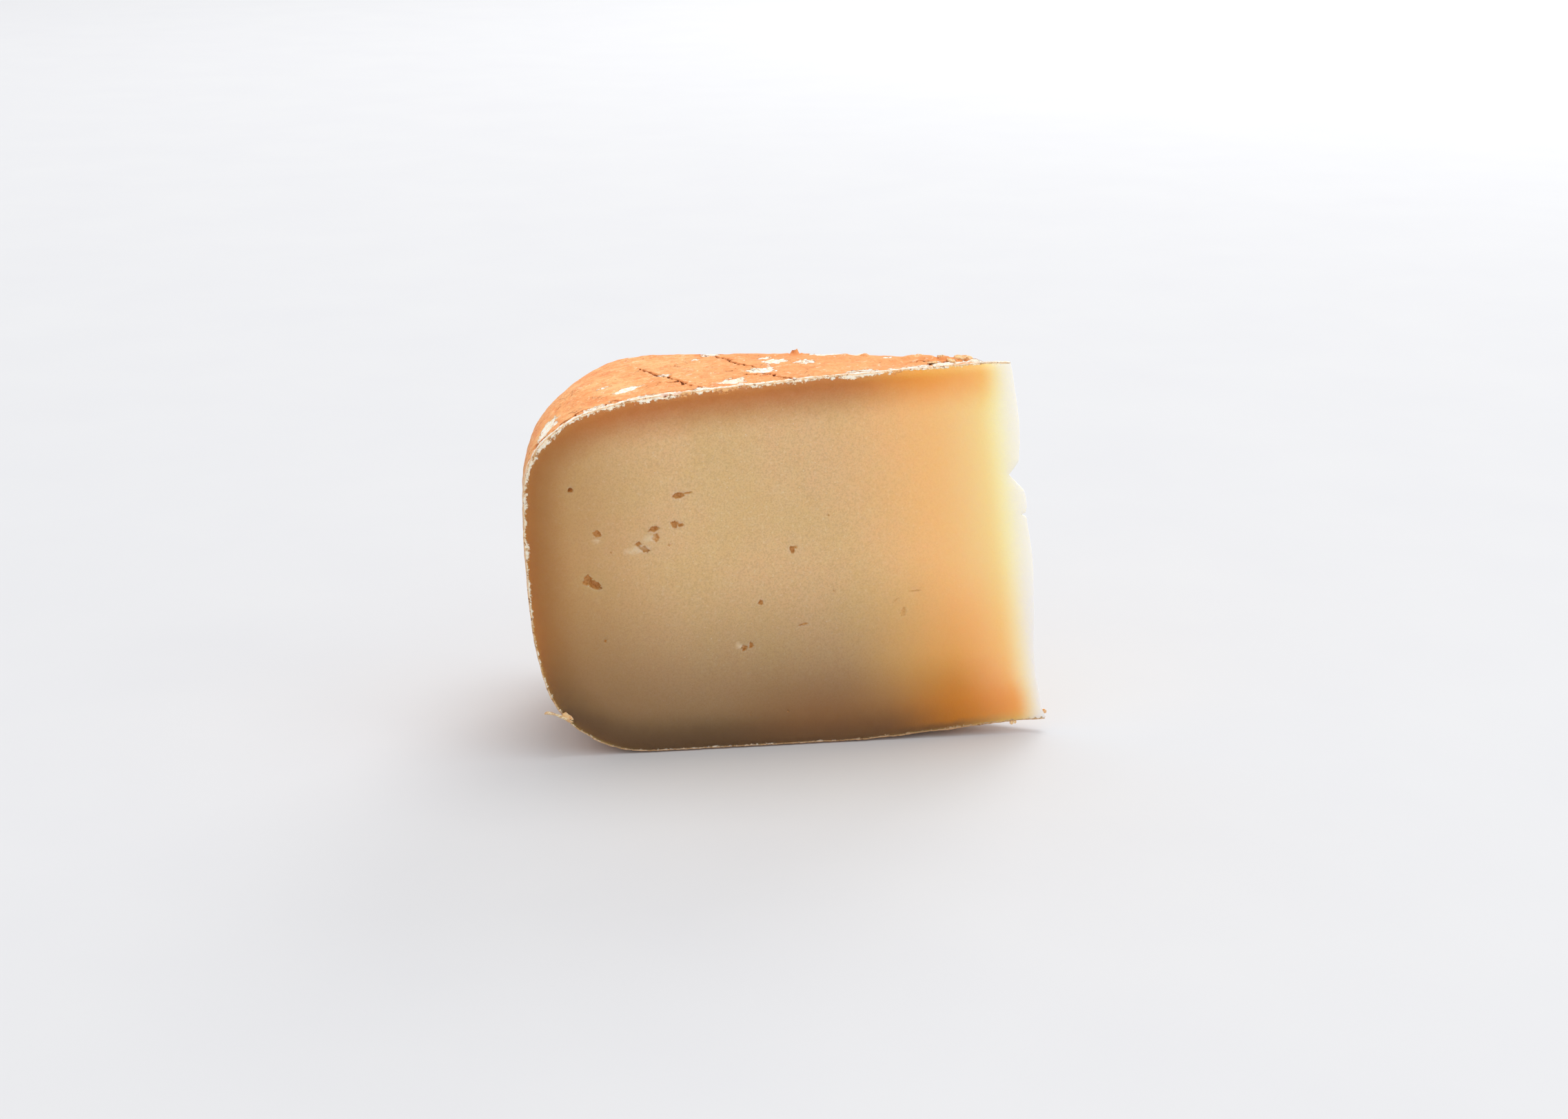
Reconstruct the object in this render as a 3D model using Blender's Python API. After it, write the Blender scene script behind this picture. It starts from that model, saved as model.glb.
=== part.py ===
"""Wedge cut from a pressed, washed-rind cheese wheel.

One solid: the wedge is a single piece of cheese, whose rind is the dried outer
millimetre of the same paste.  The wheel is a turned shape, so the wedge is that
turned shape between two knife cuts.

Frame: metres, +Z up.  The wedge stands on the wheel's flat underside.  The front
cut lies in an XZ plane and faces -Y, the wheel's rim is at -X and the thin tip,
where the two cuts meet, at +X.  The origin is the centre of the bounding box in
X and Y, at the height of the underside.
"""

import math

import bmesh
import bpy
from mathutils import Matrix, Vector

# ---------------------------------------------------------------- dimensions
WHEEL_HEIGHT = 0.0954              # height of the wheel at its axis
WEDGE_ANGLE = math.radians(28.0)   # between the two cuts
TIP_LEAN = 0.13                    # the cuts meet in a line that leans back this much per metre of height
TIP_OFF_AXIS = 0.0006              # at the underside that line misses the wheel's axis by this much
TIP_THICKNESS = 0.0012             # the knife leaves the thin edge this wide
TIP_FOOT = 0.0033                  # the thin edge starts this far above the underside
STATIONS = 12                      # turned sections across the wedge
CURVE_STEPS = 3                    # points added to each span of the turned profile

# Turned profile of the wheel: (radius, height), from the tip along the underside,
# round the lower shoulder, up the rim, round the upper shoulder and over the top.
# The wheel's largest radius is 0.1302.
UNDERSIDE = [(0.0155, 0.0026), (0.0275, 0.0015), (0.0375, 0.0007), (0.0465, 0.0002), (0.0545, 0.0)]
FOOT = [(0.1005, 0.0)]             # flat between the last underside point and this one
LOWER_SHOULDER = [(0.1065, 0.0006), (0.1115, 0.0022), (0.1162, 0.0049), (0.1204, 0.0084), (0.1235, 0.0128)]
RIM = [(0.1259, 0.0183), (0.1276, 0.0252), (0.1289, 0.0342), (0.1297, 0.0450), (0.1302, 0.0560), (0.1302, 0.0640)]
UPPER_SHOULDER = [(0.1296, 0.0707), (0.1278, 0.0758), (0.1247, 0.0799), (0.1205, 0.0832), (0.1153, 0.0859)]
TOP = [(0.1085, 0.0879), (0.1005, 0.0892), (0.0875, 0.0907), (0.0725, 0.0920), (0.0525, 0.0934),
       (0.0325, 0.0946), (0.0195, 0.0952)]

# Eyes (gas holes) opened by the front cut: distance from the wheel's axis, height,
# half length, half height and depth of the hole, and its tilt in degrees.
EYES = [
    (0.1189, 0.0677, 0.0006, 0.0006, 0.0016, 0),
    (0.0933, 0.0654, 0.0019, 0.0007, 0.0012, 12),
    (0.0939, 0.0581, 0.0013, 0.0009, 0.0012, 5),
    (0.1128, 0.0566, 0.0010, 0.0009, 0.0012, -25),
    (0.0992, 0.0559, 0.0015, 0.0015, 0.0014, 20),
    (0.1021, 0.0525, 0.0016, 0.0010, 0.0012, -20),
    (0.1143, 0.0441, 0.0022, 0.0013, 0.0020, -32),
    (0.0657, 0.0506, 0.0008, 0.0012, 0.0012, 0),
    (0.0769, 0.0258, 0.0012, 0.0010, 0.0012, 25),
]
EYE_SIDES = 16

PASTE_COLOUR = (0.80, 0.62, 0.38, 1.0)
RIND_COLOUR = (0.76, 0.36, 0.15, 1.0)


def through(points, steps):
    """A smooth line through the points (Catmull-Rom), with `steps` extra points in each span."""
    found = []
    for i in range(len(points) - 1):
        a = points[max(i - 1, 0)]
        b, c = points[i], points[i + 1]
        d = points[min(i + 2, len(points) - 1)]
        for s in range(steps + 1):
            t = s / (steps + 1)
            found.append(tuple(
                0.5 * (2 * b[k] + (c[k] - a[k]) * t
                       + (2 * a[k] - 5 * b[k] + 4 * c[k] - d[k]) * t * t
                       + (3 * b[k] - a[k] - 3 * c[k] + d[k]) * t ** 3)
                for k in range(2)))
    found.append(points[-1])
    return found


def tip_radius(z):
    """Distance from the wheel's axis to the wedge's thin edge, at height z."""
    return TIP_OFF_AXIS + TIP_LEAN * z


def profile():
    """(radius, height) of the rind from the tip's foot to the tip's top."""
    low, high = TIP_FOOT, WHEEL_HEIGHT
    under = through([(tip_radius(low), low)] + UNDERSIDE, CURVE_STEPS)
    side = through(FOOT + LOWER_SHOULDER + RIM + UPPER_SHOULDER + TOP + [(tip_radius(high), high)], CURVE_STEPS)
    return [(r, max(z, 0.0)) for r, z in under + side]


def cut_turn(r, z):
    """How far round the axis the back cut crosses the circle of radius r at height z."""
    across = (TIP_THICKNESS * math.cos(WEDGE_ANGLE) - tip_radius(z) * math.sin(WEDGE_ANGLE)) / r
    return WEDGE_ANGLE + math.asin(max(-1.0, min(1.0, across)))


def section(share):
    """The closed outline of the wedge at this share of the way from the front cut to the back cut."""
    outline = []
    for r, z in profile():
        turn = cut_turn(r, z) * share
        outline.append(Vector((-r * math.cos(turn), r * math.sin(turn), z)))
    return outline


def eyes():
    """The eyes as one mesh of ellipsoids, each centred on the front cut."""
    bm = bmesh.new()
    for axis_distance, height, half_length, half_height, depth, tilt in EYES:
        place = (Matrix.Translation((-axis_distance, 0.0, height))
                 @ Matrix.Rotation(math.radians(-tilt), 4, "Y")
                 @ Matrix.Diagonal((half_length, depth, half_height, 1.0)))
        bmesh.ops.create_uvsphere(bm, u_segments=EYE_SIDES, v_segments=EYE_SIDES // 2, radius=1.0, matrix=place)
    mesh = bpy.data.meshes.new("eyes")
    bm.to_mesh(mesh)
    bm.free()
    return mesh


def uncut_wedge():
    """The wedge before its eyes are opened: turned sections joined round, capped by the two cuts."""
    bm = bmesh.new()
    loops = []
    for j in range(STATIONS + 1):
        verts = [bm.verts.new(p) for p in section(j / STATIONS)]
        loops.append([bm.edges.new((verts[i], verts[(i + 1) % len(verts)])) for i in range(len(verts))])
        if j in (0, STATIONS):
            bm.faces.new(verts)
    for a, b in zip(loops, loops[1:]):
        bmesh.ops.bridge_loops(bm, edges=a + b)
    bmesh.ops.recalc_face_normals(bm, faces=bm.faces)
    for face in bm.faces:
        face.material_index = 0 if len(face.verts) > 4 else 1
    mesh = bpy.data.meshes.new("uncut_wedge")
    bm.to_mesh(mesh)
    bm.free()
    return mesh


def cheese_wedge():
    materials = []
    for name, colour, roughness in (("paste", PASTE_COLOUR, 0.45), ("rind", RIND_COLOUR, 0.85)):
        material = bpy.data.materials.new(name)
        material.use_nodes = True
        shader = material.node_tree.nodes["Principled BSDF"]
        shader.inputs["Base Color"].default_value = colour
        shader.inputs["Roughness"].default_value = roughness
        shader.inputs["Metallic"].default_value = 0.0
        materials.append(material)

    pieces = []
    for name, mesh in (("uncut_wedge", uncut_wedge()), ("eyes", eyes())):
        for material in materials:
            mesh.materials.append(material)
        obj = bpy.data.objects.new(name, mesh)
        bpy.context.scene.collection.objects.link(obj)
        pieces.append(obj)
    wedge, holes = pieces
    cut = wedge.modifiers.new("eyes", "BOOLEAN")
    cut.operation = "DIFFERENCE"
    cut.solver = "EXACT"
    cut.object = holes
    mesh = bpy.data.meshes.new_from_object(wedge.evaluated_get(bpy.context.evaluated_depsgraph_get()))
    for obj in pieces:
        bpy.data.objects.remove(obj)

    bm = bmesh.new()
    bm.from_mesh(mesh)
    low = [min(v.co[k] for v in bm.verts) for k in range(3)]
    high = [max(v.co[k] for v in bm.verts) for k in range(3)]
    bmesh.ops.translate(bm, verts=bm.verts, vec=(-(low[0] + high[0]) / 2, -(low[1] + high[1]) / 2, -low[2]))
    for face in bm.faces:
        face.smooth = len(face.verts) <= 4
    bm.to_mesh(mesh)
    bm.free()
    mesh.name = "cheese_wedge"
    mesh.set_sharp_from_angle(angle=math.radians(40))
    obj = bpy.data.objects.new("cheese_wedge", mesh)
    bpy.context.scene.collection.objects.link(obj)
    return obj


def main():
    for obj in list(bpy.data.objects):
        bpy.data.objects.remove(obj)
    cheese_wedge()


main()
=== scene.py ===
"""Looks of the cheese wedge: one closed mesh with real eyes, cracks, flaked rind and a crumbly cut rind edge.

Lengths inside the mesh code are millimetres in the wheel's own frame: the wheel's axis
stands at x = y = 0, the front cut lies on y = 0, and the rim is at -x.  The mesh is
moved into the row frame, in metres, when it is made.
"""
import math

import bmesh
import bpy
import numpy as np
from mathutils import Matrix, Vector
from mathutils.geometry import delaunay_2d_cdt
from mathutils.kdtree import KDTree


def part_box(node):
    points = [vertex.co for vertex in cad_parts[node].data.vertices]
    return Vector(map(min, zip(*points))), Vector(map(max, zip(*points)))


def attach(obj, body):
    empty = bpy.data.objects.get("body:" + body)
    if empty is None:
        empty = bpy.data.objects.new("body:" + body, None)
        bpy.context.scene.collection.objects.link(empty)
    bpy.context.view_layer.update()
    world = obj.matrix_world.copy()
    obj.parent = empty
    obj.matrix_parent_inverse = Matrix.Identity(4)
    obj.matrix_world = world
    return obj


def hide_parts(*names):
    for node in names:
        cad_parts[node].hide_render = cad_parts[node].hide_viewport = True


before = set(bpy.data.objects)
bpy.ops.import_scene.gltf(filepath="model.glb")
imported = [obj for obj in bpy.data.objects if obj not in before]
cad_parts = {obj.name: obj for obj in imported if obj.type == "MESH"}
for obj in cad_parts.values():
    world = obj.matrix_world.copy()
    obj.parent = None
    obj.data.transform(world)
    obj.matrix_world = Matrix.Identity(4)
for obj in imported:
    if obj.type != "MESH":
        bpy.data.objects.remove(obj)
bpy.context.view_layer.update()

# ------------------------------------------------------------------ the wheel
ANGLE = math.radians(28.0)
TIP_OFF_AXIS, TIP_LEAN, TIP_THICKNESS = 0.6, 0.13, 1.0
RIM_RADIUS = 130.2

UNDERSIDE = [(1.7, 3.2), (15.5, 2.6), (27.5, 1.5), (37.5, 0.7), (46.5, 0.2), (54.5, 0.0)]
REST = [(100.5, 0.0), (106.5, 0.6), (111.5, 2.2), (116.2, 4.9), (120.4, 8.4), (123.5, 12.8),
        (125.9, 18.3), (127.6, 25.2), (128.9, 34.2), (129.7, 45.0), (130.2, 56.0), (130.2, 64.0),
        (129.6, 70.7), (127.8, 75.8), (124.7, 79.9), (120.5, 83.2), (115.3, 85.9),
        (108.5, 87.9), (100.5, 89.2), (87.5, 90.7), (72.5, 92.0), (52.5, 93.4), (32.5, 94.6), (19.5, 95.2), (13.3, 95.3)]

# The thin edge the knife left: height, distance from the wheel's axis.
EDGE = [(3.2, 1.7), (4.4, 1.9), (5.6, 2.5), (7.5, 2.9), (11.7, 3.8), (15.5, 4.6), (22.3, 5.3), (29.6, 5.4), (36.0, 5.7),
        (42.2, 6.0), (46.5, 6.4), (49.4, 6.9), (53.0, 7.6), (56.4, 8.2), (56.8, 9.3), (57.2, 9.3), (57.6, 8.3),
        (59.1, 8.2), (61.5, 8.5), (63.2, 9.0), (65.4, 11.1), (67.2, 12.9), (68.7, 11.7), (70.5, 10.5), (73.1, 10.5),
        (75.0, 10.4), (80.0, 10.7), (85.0, 11.4), (90.0, 12.3), (93.0, 12.8), (95.3, 13.3)]

CELL = 0.66        # widest cell of the rind's grid
ROW = 0.62         # distance between its rows


def through(points, steps=8):
    found = []
    for i in range(len(points) - 1):
        a, b, c, d = (np.array(points[max(0, min(len(points) - 1, k))], float) for k in (i - 1, i, i + 1, i + 2))
        for s in range(steps):
            t = s / steps
            found.append(0.5 * (2 * b + (c - a) * t + (2 * a - 5 * b + 4 * c - d) * t * t + (3 * b - a - 3 * c + d) * t ** 3))
    found.append(np.array(points[-1], float))
    return np.array(found)


def resampled(line, step):
    run = np.r_[0, np.cumsum(np.hypot(*np.diff(line, axis=0).T))]
    at = np.linspace(0, run[-1], int(round(run[-1] / step)) + 1)
    return np.stack([np.interp(at, run, line[:, k]) for k in range(line.shape[1])], 1)


def tip_radius(z):
    return TIP_OFF_AXIS + TIP_LEAN * z


def back_turn(r, z):
    across = (TIP_THICKNESS * math.cos(ANGLE) - tip_radius(z) * math.sin(ANGLE)) / r
    return ANGLE + np.arcsin(np.clip(across, -1, 1))


BACK_ALONG = np.array([-math.cos(ANGLE), math.sin(ANGLE)])
BACK_OUT = np.array([math.sin(ANGLE), math.cos(ANGLE)])


def back_offset(z):
    return TIP_THICKNESS * math.cos(ANGLE) - tip_radius(z) * math.sin(ANGLE)


# ------------------------------------------------------------------ noise
def lattice(i, j, k, seed):
    h = (i.astype(np.uint32) * np.uint32(0x9E3779B1)) ^ (j.astype(np.uint32) * np.uint32(0x85EBCA77))
    h = h ^ (k.astype(np.uint32) * np.uint32(0xC2B2AE3D)) ^ np.uint32((seed * 0x27D4EB2F + 0x165667B1) & 0xFFFFFFFF)
    h = (h ^ (h >> np.uint32(15))) * np.uint32(0x2C1B3C6D)
    h = (h ^ (h >> np.uint32(12))) * np.uint32(0x297A2D39)
    return h ^ (h >> np.uint32(15))


def noise(p, size, seed=0):
    """Smooth gradient noise, about -1 to 1, with lumps `size` mm apart."""
    q = np.asarray(p, float) / size
    base = np.floor(q).astype(np.int64)
    f = q - base
    w = f ** 3 * (f * (f * 6 - 15) + 10)
    total = np.zeros(len(q))
    for corner in range(8):
        c = np.array([corner & 1, corner >> 1 & 1, corner >> 2])
        h = lattice(base[:, 0] + c[0], base[:, 1] + c[1], base[:, 2] + c[2], seed)
        slope = np.stack([(h >> np.uint32(s) & np.uint32(1023)) / 511.5 - 1 for s in (0, 10, 20)], 1)
        weight = np.prod(np.where(c, w, 1 - w), axis=1)
        total += weight * (slope * (f - c)).sum(1)
    return total * 1.6


def layered(p, size, layers, seed=0, fade=0.5):
    total, reach = 0.0, 0.0
    for k in range(layers):
        total = total + noise(p, size / 2 ** k, seed + 17 * k) * fade ** k
        reach += fade ** k
    return total / reach


def step(low, high, x):
    t = np.clip((x - low) / (high - low), 0, 1)
    return t * t * (3 - 2 * t)


# ------------------------------------------------------------------ features
# Eyes of the front cut: distance from the wheel's axis, height, half length, half height,
# tilt in degrees, depth, raggedness.
FRONT_EYES = [
    (118.9, 67.7, 0.62, 0.62, 0, 1.6, 0.05),
    (93.2, 65.3, 1.35, 0.75, 4, 1.3, 0.25), (91.0, 65.9, 1.2, 0.30, 12, 0.7, 0.3),
    (94.2, 58.2, 0.95, 0.95, 0, 1.1, 0.4), (92.8, 57.9, 0.8, 0.45, 5, 0.8, 0.3),
    (112.8, 56.6, 1.05, 0.85, -28, 1.1, 0.25),
    (99.2, 57.2, 1.25, 0.65, 10, 1.2, 0.35), (98.8, 55.0, 0.9, 0.8, 40, 0.8, 0.5),
    (103.0, 53.6, 0.7, 0.55, 0, 0.9, 0.5), (101.6, 52.3, 1.35, 0.65, -25, 1.2, 0.5),
    (115.4, 45.0, 1.05, 1.35, -30, 1.6, 0.3), (113.6, 43.7, 1.7, 0.95, -30, 2.0, 0.35),
    (65.8, 50.5, 0.62, 0.95, 5, 1.1, 0.5), (65.0, 51.1, 0.4, 0.4, 0, 0.6, 0.3),
    (73.5, 37.4, 0.55, 0.6, 0, 1.0, 0.3),
    (77.6, 25.9, 0.8, 0.75, 0, 1.1, 0.5), (76.0, 26.5, 0.6, 0.65, 30, 0.9, 0.5),
    (63.0, 31.3, 1.2, 0.28, 15, 0.6, 0.4),
    (111.4, 29.4, 0.35, 0.4, 0, 0.6, 0.2), (109.6, 51.8, 0.3, 0.25, 0, 0.4, 0.2), (95.6, 53.0, 0.35, 0.3, 0, 0.4, 0.2),
    (35.2, 38.7, 1.8, 0.22, 3, 0.35, 0.5), (38.2, 33.2, 0.7, 1.2, -15, 0.45, 0.5), (40.2, 36.4, 0.9, 0.25, 40, 0.3, 0.5),
    (57.0, 58.9, 0.22, 0.3, 0, 0.4, 0.2), (55.6, 39.6, 0.22, 0.25, 0, 0.4, 0.2), (90.0, 69.6, 0.2, 0.2, 0, 0.3, 0.2),
    (66.8, 8.6, 0.3, 0.25, 0, 0.4, 0.2), (76.2, 8.4, 0.25, 0.2, 0, 0.3, 0.2),
]

# Cracks of the rind's top as points on it (x, y, z in the row frame, mm), with their depth and width.
CRACKS = [
    ([(-34.6, 0.5, 88.7), (-33.2, -3.1, 89.0), (-31.6, -6.8, 89.3), (-29.5, -10.9, 89.7), (-28.1, -14.0, 89.9),
      (-26.7, -16.8, 90.1), (-25.6, -20.3, 90.2), (-24.2, -23.3, 90.4), (-22.1, -25.7, 90.6), (-20.4, -28.5, 90.8)], 0.65, 0.30),
    ([(-19.5, 8.5, 90.0), (-17.0, 6.5, 90.3), (-14.9, 2.8, 90.7), (-13.0, -1.6, 91.0), (-12.4, -5.0, 91.2), (-10.6, -8.2, 91.4),
      (-7.8, -12.3, 91.7), (-6.6, -15.0, 91.8)], 0.60, 0.26),
    ([(-7.3, -21.8, 91.9), (-4.7, -20.5, 92.0), (-3.4, -23.8, 92.2), (-1.2, -26.6, 92.3), (0.9, -29.4, 92.5)], 0.65, 0.30),
    ([(-10.5, -19.0, 91.7), (-7.5, -19.3, 91.9), (-4.7, -20.5, 92.0)], 0.45, 0.24),
    ([(3.0, -1.8, 92.3), (6.5, -3.9, 92.5), (9.3, -5.4, 92.7)], 0.75, 0.35),
    ([(14.2, -25.6, 93.4), (15.8, -27.6, 93.5), (18.2, -28.2, 93.6), (20.4, -27.6, 93.8)], 0.5, 0.28),
    ([(33.0, -27.0, 94.5), (34.6, -24.6, 94.6), (36.5, -25.1, 94.7), (38.2, -24.2, 94.7), (39.6, -26.6, 94.8)], 0.7, 0.35),
    ([(28.5, -23.6, 94.2), (31.0, -22.6, 94.4), (34.6, -24.6, 94.6)], 0.5, 0.25),
    ([(-46.9, -26.4, 86.9), (-45.0, -27.8, 87.4), (-43.0, -25.6, 87.9), (-40.9, -27.7, 88.4)], 0.5, 0.28),
    ([(-62.9, -25.2, 75.0), (-62.2, -24.9, 76.4), (-61.1, -25.4, 78.0), (-59.8, -26.8, 79.4), (-58.1, -27.8, 80.9)], 0.6, 0.34),
    ([(-56.4, -15.0, 82.4), (-55.6, -12.6, 83.0), (-54.9, -10.6, 83.4), (-54.2, -8.6, 83.7)], 1.1, 0.62),
    ([(-56.8, -11.6, 82.2), (-55.4, -11.4, 83.2), (-53.9, -12.0, 83.9)], 0.8, 0.4),
    ([(-57.4, -27.4, 81.4), (-56.0, -27.8, 82.4), (-55.0, -27.6, 83.2), (-53.5, -27.1, 84.1), (-52.0, -26.6, 84.9), (-50.2, -25.6, 85.6),
      (-48.6, -25.4, 86.2)], 0.5, 0.30),
    ([(-31.5, -16.5, 89.4), (-29.0, -18.0, 89.7), (-26.8, -18.4, 90.1)], 0.4, 0.24),
]

# Places where the orange skin has flaked off: centre (row frame, mm), half sizes along and across,
# turn of the long side in plan (degrees from +x), how white.
FLAKED = [
    ((-58.3, -21.2, 80.6), 5.0, 2.2, 62, 1.0), ((-38.6, -17.9, 88.6), 3.2, 1.5, 32, 1.0), ((-43.8, -12.0, 87.3), 1.8, 0.8, 10, 0.6),
    ((-29.3, -10.6, 89.7), 1.9, 1.5, 0, 0.9), ((-15.8, 6.0, 90.5), 2.2, 2.6, 0, 1.0), ((-20.2, 2.0, 90.2), 1.4, 1.2, 10, 0.7),
    ((-1.8, -9.2, 92.1), 2.9, 2.2, 0, 1.0), ((-6.2, -16.0, 91.9), 3.4, 2.6, -20, 0.9), ((-3.8, -4.5, 91.8), 1.6, 1.2, 0, 0.8),
    ((-13.7, -23.6, 91.3), 3.2, 2.6, 30, 0.9), ((4.7, -12.8, 92.6), 2.6, 2.2, 0, 0.7), ((11.6, -7.0, 92.9), 4.0, 2.2, -12, 0.9),
    ((18.6, -10.2, 93.2), 2.4, 1.4, -20, 0.9), ((24.8, -15.6, 93.9), 1.5, 1.2, 0, 0.6), ((37.0, -26.4, 94.7), 4.2, 2.2, 10, 0.9),
    ((16.8, -26.9, 93.6), 4.4, 1.6, -6, 0.8), ((-36.5, -27.5, 88.9), 4.0, 1.5, 10, 0.8), ((-48.0, -27.0, 86.6), 4.0, 1.6, 20, 0.8),
    ((30.5, -27.4, 94.2), 4.0, 1.2, 0, 0.7), ((45.4, -26.6, 95.0), 5.0, 1.3, -12, 1.0), ((49.4, -28.0, 95.1), 3.2, 1.4, 0, 1.0), ((-22.0, -27.6, 90.6), 2.4, 1.8, 20, 0.8),
]

# Crumbs and lifted plates of rind: centre (row frame, mm), radius, height.
LIFTED = [
    ((4.5, -2.9, 92.3), 0.9, 1.15), ((6.2, -3.6, 92.3), 0.6, 0.5), ((34.5, -20.4, 94.5), 2.2, 0.55), ((40.6, -22.6, 94.7), 2.4, 0.5),
    ((37.6, -22.0, 94.6), 1.3, 0.7), ((29.6, -18.4, 94.1), 1.8, 0.4), ((44.4, -25.4, 94.9), 1.6, 0.45),
    ((20.0, -12.0, 93.3), 1.4, 0.4), ((-12.0, -28.0, 91.4), 1.4, 0.4),
]
# Pits: centre (row frame, mm), radius, depth.
PITS = [((-55.3, -11.8, 83.2), 0.85, 1.2), ((-31.1, -29.2, 89.7), 1.2, 0.8), ((-27.6, -29.3, 90.0), 1.4, 0.6)]

# Along the top of the front cut: where the pale edge is wider (distance from the wheel's axis, half length, extra),
# where it has broken off (distance, half length), and pale smears (distance, height, half sizes, tilt).
WIDER = [(28.6, 2.6, 0.2), (33.0, 1.6, 0.12), (46.5, 3.2, 0.45), (52.5, 2.6, 0.45), (108.0, 1.8, 0.35), (94.5, 3.0, 0.25)]
BROKEN = [(81.6, 3.4), (91.2, 1.6), (40.5, 1.3)]
SMEARS = [(112.9, 54.9, 1.0, 0.5, 0), (103.1, 52.2, 3.4, 0.9, 8), (100.0, 55.0, 1.5, 0.8, 0), (113.9, 40.7, 1.5, 0.7, -10), (105.7, 78.8, 0.7, 0.35, 40), (104.3, 79.6, 0.6, 0.3, 60), (62.1, 75.1, 0.35, 0.3, 0), (41.5, 75.2, 0.35, 0.3, 0), (78.6, 26.4, 1.6, 0.7, -20)]

# Small pieces of rind that hang on by one side, as outlines across and up on a plane, in mm, round their own middle.
PLATE = [(-1.6, -0.5), (-0.9, -1.0), (0.2, -0.8), (1.1, -1.1), (1.7, -0.3), (1.3, 0.5), (0.5, 0.9), (-0.4, 0.7), (-1.3, 0.9), (-1.8, 0.2)]
# middle (row frame, mm), size, thickness, turn and lean in degrees, upright or lying
LOOSE = [
    ((31.6, -18.6, 94.75), 1.05, 0.60, 15, 14, 0), ((36.9, -21.2, 95.15), 0.85, 0.75, 75, -12, 0), ((41.9, -23.8, 95.35), 1.35, 0.70, -12, 8, 0),
    ((38.6, -24.6, 95.0), 0.75, 0.45, 130, 12, 0), ((34.0, -25.2, 94.8), 0.8, 0.40, 30, -10, 0), ((-55.6, -29.5, 10.1), 0.95, 0.40, -38, 6, 1),
    ((63.0, -29.1, 4.9), 0.70, 0.40, 20, 0, 1), ((55.6, -29.3, 2.6), 0.5, 0.30, 10, 0, 1),
]
STRAND = [(-54.2, -28.7, 8.6), (-55.6, -29.2, 9.3), (-57.2, -29.8, 10.4), (-58.5, -30.3, 11.2), (-59.8, -30.7, 11.8), (-60.8, -30.9, 12.05), (-61.5, -31.0, 11.8)]

cad_low, cad_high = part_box("cheese_wedge")
SHIFT = np.array([cad_low.x * 1000 + RIM_RADIUS, cad_low.y * 1000, cad_low.z * 1000])   # wheel frame to row frame


def in_wheel(point):
    return np.array(point, float) - SHIFT


# ------------------------------------------------------------------ the rind's line and surface
LINE = resampled(np.vstack([through(UNDERSIDE), through(REST)]), ROW)
RUN = np.r_[0, np.cumsum(np.hypot(*np.diff(LINE, axis=0).T))]
TANGENT = np.gradient(LINE, axis=0)
TANGENT /= np.hypot(*TANGENT.T)[:, None]
OUTWARD = np.stack([TANGENT[:, 1], -TANGENT[:, 0]], 1)
CENTRE = np.array([70.0, 45.0])
if ((LINE - CENTRE) * OUTWARD).sum() < 0:
    OUTWARD = -OUTWARD


def run_at(radius, height):
    """How far along the rind's line the point nearest to this radius and height is."""
    return RUN[np.hypot(LINE[:, 0] - radius, LINE[:, 1] - height).argmin()]


def surface(run, share):
    r, z = np.interp(run, RUN, LINE[:, 0]), np.interp(run, RUN, LINE[:, 1])
    turn = back_turn(r, z) * share
    return np.array([-r * np.cos(turn), r * np.sin(turn), z])


def jagged(points, rng, every=0.8, amount=0.28):
    points = np.array(points, float)
    found = [points[0]]
    for a, b in zip(points, points[1:]):
        n = max(1, int(round(np.linalg.norm(b - a) / every)))
        for k in range(1, n + 1):
            found.append(a + (b - a) * k / n + (rng.normal(0, amount, 3) * [1, 1, 0.4] if k < n else 0))
    return np.array(found)


def off_line(points, line):
    """Distance from each point to a line of straight pieces, and how far along it (0 to 1)."""
    best, along = np.full(len(points), 1e9), np.zeros(len(points))
    for k, (a, b) in enumerate(zip(line, line[1:])):
        ab = b - a
        t = np.clip(((points - a) @ ab) / max(ab @ ab, 1e-9), 0, 1)
        gap = np.linalg.norm(points - a - t[:, None] * ab, axis=1)
        nearer = gap < best
        best[nearer], along[nearer] = gap[nearer], ((k + t) / (len(line) - 1))[nearer]
    return best, along


rng = np.random.default_rng(20)
cracks = [(jagged([in_wheel(p) for p in line], rng, 0.6, 0.36), 1.1 * depth, width) for line, depth, width in CRACKS]
flaked = [(in_wheel(c), a, b, math.radians(turn), white, k) for k, (c, a, b, turn, white) in enumerate(FLAKED)]

# The rim, the lower shoulder and the underside carry cracks, flaked spots and pits of their own.
low_run, high_run = run_at(30, 1.2), run_at(129, 73)
for _ in range(30):
    run, share = rng.uniform(low_run, high_run), rng.uniform(0.04, 0.96)
    heading, points = rng.uniform(-0.5, 0.5) + (math.pi / 2 if rng.random() < 0.35 else 0), []
    for _ in range(rng.integers(4, 10)):
        points.append(surface(run, share))
        run += 1.6 * math.sin(heading)
        share += 1.6 * math.cos(heading) / 60
        heading += rng.normal(0, 0.25)
        if not (low_run < run < high_run and 0.01 < share < 0.99):
            break
    if len(points) > 2:
        cracks.append((jagged(points, rng), rng.uniform(0.25, 0.5), rng.uniform(0.2, 0.3)))
spots = []
for k in range(70):
    run, share = rng.uniform(low_run, high_run), rng.uniform(0.02, 0.98)
    spots.append((surface(run, share), rng.uniform(0.6, 3.2), rng.uniform(0.4, 1.4), rng.uniform(0, math.pi), rng.uniform(0.35, 0.9), 100 + k))
pits = [(in_wheel(c), radius, depth) for c, radius, depth in PITS]
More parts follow.
